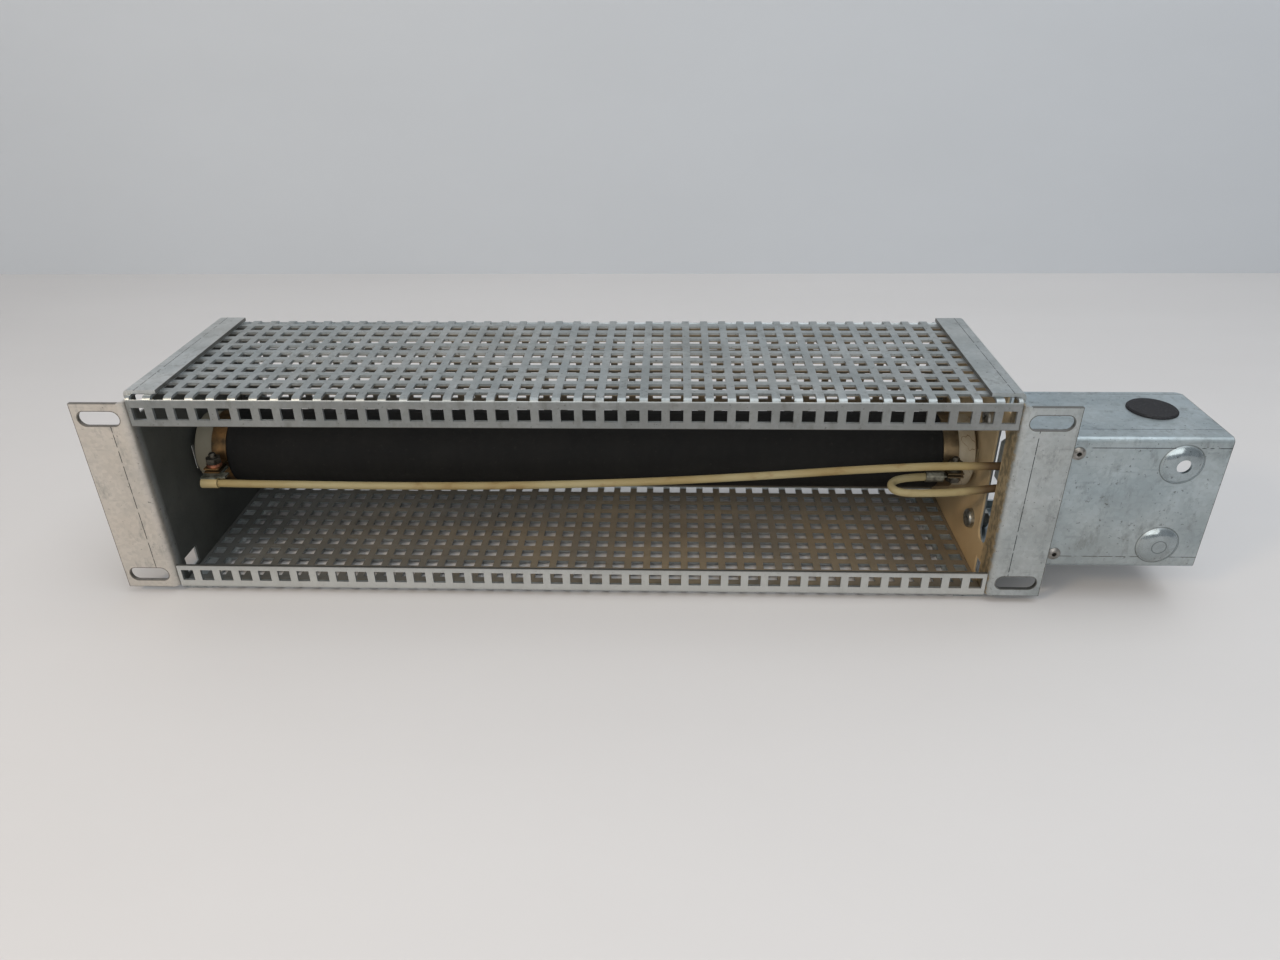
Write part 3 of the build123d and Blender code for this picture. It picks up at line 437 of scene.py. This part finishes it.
def box_scribes():
    """Setting-out lines on the terminal box, next to its long bends."""
    low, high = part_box("terminal_box")
    on_front, on_top = (0.190, high[0]), (low[0], high[0])
    return [
        {"x": on_front, "y": BOX_FRONT_Y, "z": (0.02412, 0.02444)},
        {"x": on_front, "y": BOX_FRONT_Y, "z": (-0.02336, -0.02304)},
        {"x": on_top, "y": (0.00935, 0.00965), "z": BOX_TOP_Z},
        {"x": on_top, "y": (0.04175, 0.04205), "z": BOX_TOP_Z},
    ]


def box_edges():
    """The box's dark cut edges at its open end and behind."""
    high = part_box("terminal_box")[1]
    return [
        {"x": (high[0] - 0.0002, high[0] + 0.0001)},
        {"y": (high[1] - 0.0002, high[1] + 0.0001), "z": (0.027, 0.0285)},
    ]


def box_stains_and_shade(f, base):
    """Thin rings of painted shade at both boss bases and a struck circle on the closed one, grime low on
    the front.

    The second value is negative on the bosses, which are brighter and smoother than the sheet.
    """
    rings, domes = [], []
    for z, radii in ((BOSS_Z, (BOSS_R,)), (-BOSS_Z, (BOSS_R, STRUCK_CIRCLE_R))):
        far = f.length(f.math("SUBTRACT", f.axis("x"), BOSS_X), f.math("SUBTRACT", f.axis("z"), z))
        domes.append(f.span(far, BOSS_R, BOSS_R - 0.0010))
        rings += [f.math("COMPARE", far, radius, 0.0002) for radius in radii]
    front = f.inside(y=(-0.0005, 0.0021))
    low_down = f.both(front, f.span(f.axis("z"), 0.010, -0.028))
    base = f.mix(f.both(low_down, 0.25), base, BOX_GRIME)
    # The circles at the boss bases are painted shade in the crease; the small one is a struck mark.
    base = f.mix(f.math("MULTIPLY", f.both(f.any_of(rings), front), 0.5), base, PAINTED_SHADE_AND_SCORE)
    return base, f.math("MULTIPLY", f.both(f.any_of(domes), front), -0.65)


def cover_edges():
    """The dark free edges of the cover's two front lips."""
    return [
        {"y": COVER_LIP_Y, "z": (0.03125, 0.0315)},
        {"y": COVER_LIP_Y, "z": (-0.0320, -0.03175)},
    ]


def paint_steel():
    """The galvanised sheet parts."""
    # The tuple is each part's grey scale, partly painted light and shade; the next number is the painted
    # warm light on the front flange.
    zinc("cover_zinc", (0.80, 0.80, 0.80), 0.02, (), cover_edges(), cover_stains_and_shade).paint("perforated_cover")
    zinc("left_plate_zinc", (1.17, 1.13, 1.12), 0.80, plate_scribes(-1), plate_edges(-1),
         left_plate_shade).paint("left_end_plate")
    zinc("right_plate_zinc", (0.90, 0.90, 0.90), 0.05, plate_scribes(1), plate_edges(1),
         right_plate_tan_and_reflection).paint("right_end_plate")
    zinc("box_zinc", (0.85, 0.91, 0.95), 0.03, box_scribes(), box_edges(), box_stains_and_shade).paint("terminal_box")
    zinc("bracket_zinc", (0.7, 0.7, 0.7), 0.1).paint("terminal_bracket")


def paint_tube():
    """The resistor tube: coating, bare ceramic ends and terminal bands."""
    coat = Finish("cement_black", roughness=0.78)
    coat.shader.inputs["Specular IOR Level"].default_value = 0.32
    patch = coat.span(coat.noise(0.014, detail=6), 0.35, 0.7)
    dust = coat.span(coat.noise(0.0016, detail=6, shift=(3, 3, 3)), 0.62, 0.75)
    tone = coat.mix(patch, *CEMENT)
    coat.colour(coat.mix(coat.both(dust, 0.35), tone, CEMENT_DUST))
    turns = coat.math("SINE", coat.math("MULTIPLY", coat.axis("x"), 2 * math.pi / WINDING_PITCH))
    grain = coat.noise(0.0012, detail=5)
    coat.bump(coat.math("MULTIPLY_ADD", turns, 0.35, grain), 0.00018, 0.6)
    coat.paint("cement_coating")

    clay = Finish("core_ceramic", roughness=0.62)
    stain = clay.span(clay.noise(0.010, stretch=(1, 2, 2), detail=6), 0.42, 0.72)
    # Painted shade, with some dirt, darkening the left end of the ceramic.
    shaded_left_end = clay.span(clay.axis("x"), 0.0, -0.05)
    clay_tone = clay.mix(stain, *CLAY)
    clay_tone = clay.mix(clay.both(shaded_left_end, 0.72), clay_tone, CLAY_SHADED)
    crack = clay.noise(0.007, stretch=(1.0, 1.6, 1.6), detail=2, shift=(1.5, 0.2, 0.8))
    line = clay.both(clay.math("COMPARE", crack, 0.47, 0.006), clay.inside(x=(0.156, 0.163)))
    clay.colour(clay.mix(clay.both(line, 0.8), clay_tone, CLAY_CRACK))
    clay.bump(clay.noise(0.0009, detail=4), 0.00008, 0.4)
    clay.paint("ceramic_core")

    for name, cool, hot_tone in (
        ("left_terminal_band", (0.07, 0.05, 0.028), (0.30, 0.17, 0.07)),
        ("right_terminal_band", (0.10, 0.075, 0.045), (0.22, 0.16, 0.09)),
    ):
        band = Finish(name + "_metal", metallic=0.85, roughness=0.42)
        band.colour(band.mix(band.span(band.noise(0.006, detail=6), 0.35, 0.65), cool, hot_tone))
        band.paint(name)


def metal(name, light, dark, roughness, *nodes, metallic=0.9, size=0.002):
    """Plain metal of two mottled tones."""
    f = Finish(name, metallic=metallic, roughness=roughness)
    f.colour(f.mix(f.span(f.noise(size, detail=5), 0.38, 0.64), light, dark))
    f.bump(f.noise(0.0005, detail=3), 0.00004, 0.3)
    f.paint(*nodes)


def paint_hardware():
    """Fasteners, lugs, terminal block and plug."""
    metal("clamp_dark", (0.13, 0.12, 0.10), (0.045, 0.042, 0.035), 0.42, "clamp_nuts", "clamp_bolts")
    metal("tin", (0.25, 0.24, 0.19), (0.10, 0.095, 0.075), 0.42, "looped_lead_lug")
    metal("zinc_screw", (0.42, 0.42, 0.39), (0.20, 0.20, 0.18), 0.36, "terminal_box_screws",
          "terminal_box_nuts", "terminal_screws", "block_screw", "earth_screw", "earth_washer",
          "earth_clamp_plate")
    metal("rivet_metal", (0.34, 0.33, 0.31), (0.17, 0.16, 0.145), 0.34, "terminal_box_rivets")
    metal("brass", (0.58, 0.44, 0.20), (0.40, 0.28, 0.12), 0.35, "terminal_clamps")
    metal("winding_alloy", (0.22, 0.20, 0.19), (0.13, 0.12, 0.11), 0.5, "resistance_winding")
    metal("block_ceramic", (0.66, 0.64, 0.58), (0.56, 0.53, 0.46), 0.35, "terminal_block_body",
          metallic=0.0, size=0.012)

    copper = Finish("copper_and_zinc", metallic=0.85, roughness=0.42)
    red = copper.mix(copper.span(copper.noise(0.002), 0.4, 0.6), *COPPER_RED)
    copper.colour(copper.mix(copper.span(copper.axis("x"), -0.01, 0.01), red, DULL_ZINC))
    copper.paint("clamp_washers")

    lug = Finish("lug_and_sleeve", metallic=0.0, roughness=0.6)
    sleeve = lug.both(lug.span(lug.axis("y"), 0.0234, 0.0231), lug.span(lug.axis("z"), -0.0012, -0.0015))
    tin = lug.mix(lug.span(lug.noise(0.002), 0.4, 0.6), *LUG_TIN)
    lug.colour(lug.mix(sleeve, tin, SLEEVE_CREAM))
    lug.put(lug.shader.inputs["Metallic"], lug.math("MULTIPLY_ADD", sleeve, -0.85, 0.85))
    lug.paint("long_lead_lug")

    plug = Finish("black_plug", roughness=0.62)
    plug.shader.inputs["Specular IOR Level"].default_value = 0.28
    speck = plug.span(plug.noise(0.0006, detail=2), 0.55, 0.70)
    plug.colour(plug.mix(plug.both(speck, 0.7), *PLUG_BLACK))
    plug.bump(plug.noise(0.0005, detail=3), 0.00012, 0.8)
    plug.paint("blanking_plug")


def lead_finish():
    """Cream glass-braid sleeve, spotted by heat and brown where it leaves the housing."""
    f = Finish("lead_braid", roughness=0.66)
    tone = f.mix(f.span(f.noise(0.012, stretch=(3, 1, 1), detail=4), 0.35, 0.65), *BRAID_CREAM)
    spots = f.span(f.noise(0.006, stretch=(1.5, 1, 1), detail=4, shift=(8, 2, 1)), 0.55, 0.70)
    tone = f.mix(f.both(spots, 0.6), tone, BRAID_SPOT)
    tone = f.mix(f.span(f.axis("x"), 0.153, 0.162), tone, BRAID_END)
    f.colour(tone)
    slant = f.math("ADD", f.axis("x"), f.axis("z"))
    braid = f.math("SINE", f.math("MULTIPLY", slant, 2 * math.pi / BRAID_PITCH))
    f.bump(f.math("MULTIPLY_ADD", braid, 0.3, f.noise(0.0006)), 0.00006, 0.5)
    return f.material


# --- leads ------------------------------------------------------------------------------------------------
def shape_of(obj):
    """A curve object's evaluated mesh."""
    bpy.context.view_layer.update()
    return bpy.data.meshes.new_from_object(obj.evaluated_get(bpy.context.evaluated_depsgraph_get()))


def make_lead(name, node, route, material):
    """One lead as a smooth round tube through the housing, standing for its CAD tube."""
    data = bpy.data.curves.new(name + "_route", "CURVE")
    data.dimensions = "3D"
    spline = data.splines.new("NURBS")
    spline.points.add(len(route) - 1)
    for point, place in zip(spline.points, route):
        point.co = (*place, 1.0)
    spline.order_u = 3
    spline.use_endpoint_u = True
    spline.resolution_u = 10
    guide = bpy.data.objects.new(name + "_route", data)
    bpy.context.collection.objects.link(guide)
    line = [vertex.co.copy() for vertex in shape_of(guide).vertices]
    data.bevel_depth = LEAD_DIAMETER / 2
    data.bevel_resolution = 6
    data.use_fill_caps = True
    tube = shape_of(guide)
    bpy.data.objects.remove(guide)
    tube.materials.append(material)
    lead = bpy.data.objects.new(name, tube)
    bpy.context.collection.objects.link(lead)
    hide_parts(node)
    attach(lead, "root")


# --- floor, wall and light --------------------------------------------------------------------------------
def plane(name, corners, tone):
    """A flat stage piece of one pale tone."""
    mesh = bpy.data.meshes.new(name)
    mesh.from_pydata(corners, [], [tuple(range(len(corners)))])
    obj = bpy.data.objects.new(name, mesh)
    bpy.context.collection.objects.link(obj)
    paint = Finish(name + "_paint", roughness=0.6)
    paint.colour(paint.mix(paint.span(paint.noise(0.12, stretch=(2.5, 1, 1), detail=5), 0.3, 0.7), tone,
                           tuple(0.96 * v for v in tone)))
    mesh.materials.append(paint.material)


def lamp(name, place, target, size, power, tone):
    """Soft rectangular lamp at place, aimed at target."""
    data = bpy.data.lights.new(name, "AREA")
    data.shape = "RECTANGLE"
    data.size, data.size_y = size
    data.energy = power
    data.color = tone
    obj = bpy.data.objects.new(name, data)
    obj.location = place
    obj.rotation_euler = (Vector(target) - Vector(place)).to_track_quat("-Z", "Y").to_euler()
    bpy.context.collection.objects.link(obj)


def make_stage():
    """Pale floor and wall, a cool window light from above, a soft front light and a small warm one."""
    reach, wall_top = 1.6, 1.2
    plane("floor", [(-reach, -reach, FLOOR_Z), (reach, -reach, FLOOR_Z), (reach, WALL_Y, FLOOR_Z),
                    (-reach, WALL_Y, FLOOR_Z)], FLOOR_TONE)
    plane("wall", [(-reach, WALL_Y, FLOOR_Z), (reach, WALL_Y, FLOOR_Z), (reach, WALL_Y, wall_top),
                   (-reach, WALL_Y, wall_top)], WALL_TONE)
    lamp("window", (0.35, 0.05, 1.15), (0.0, 0.05, 0.0), (1.6, 1.0), 11.0, (0.93, 0.97, 1.0))
    lamp("front", (-0.10, -1.05, 0.65), (0.0, 0.0, 0.0), (1.4, 0.7), 5.5, (1.0, 0.98, 0.95))
    lamp("warm", (-0.55, -0.55, 0.60), (0.05, 0.0, 0.0), (0.16, 0.16), 2.6, (1.0, 0.80, 0.58))
    world = bpy.data.worlds.new("world")
    world.use_nodes = True
    background = world.node_tree.nodes["Background"]
    background.inputs["Color"].default_value = (0.86, 0.90, 0.95, 1.0)
    background.inputs["Strength"].default_value = 0.42
    bpy.context.scene.world = world
    bpy.context.scene.view_settings.view_transform = "Standard"


make_camera()
braid = lead_finish()
make_lead("long_lead_sleeve", "long_lead", LONG_LEAD, braid)
make_lead("looped_lead_sleeve", "looped_lead", LOOPED_LEAD, braid)
paint_steel()
paint_tube()
paint_hardware()
make_stage()
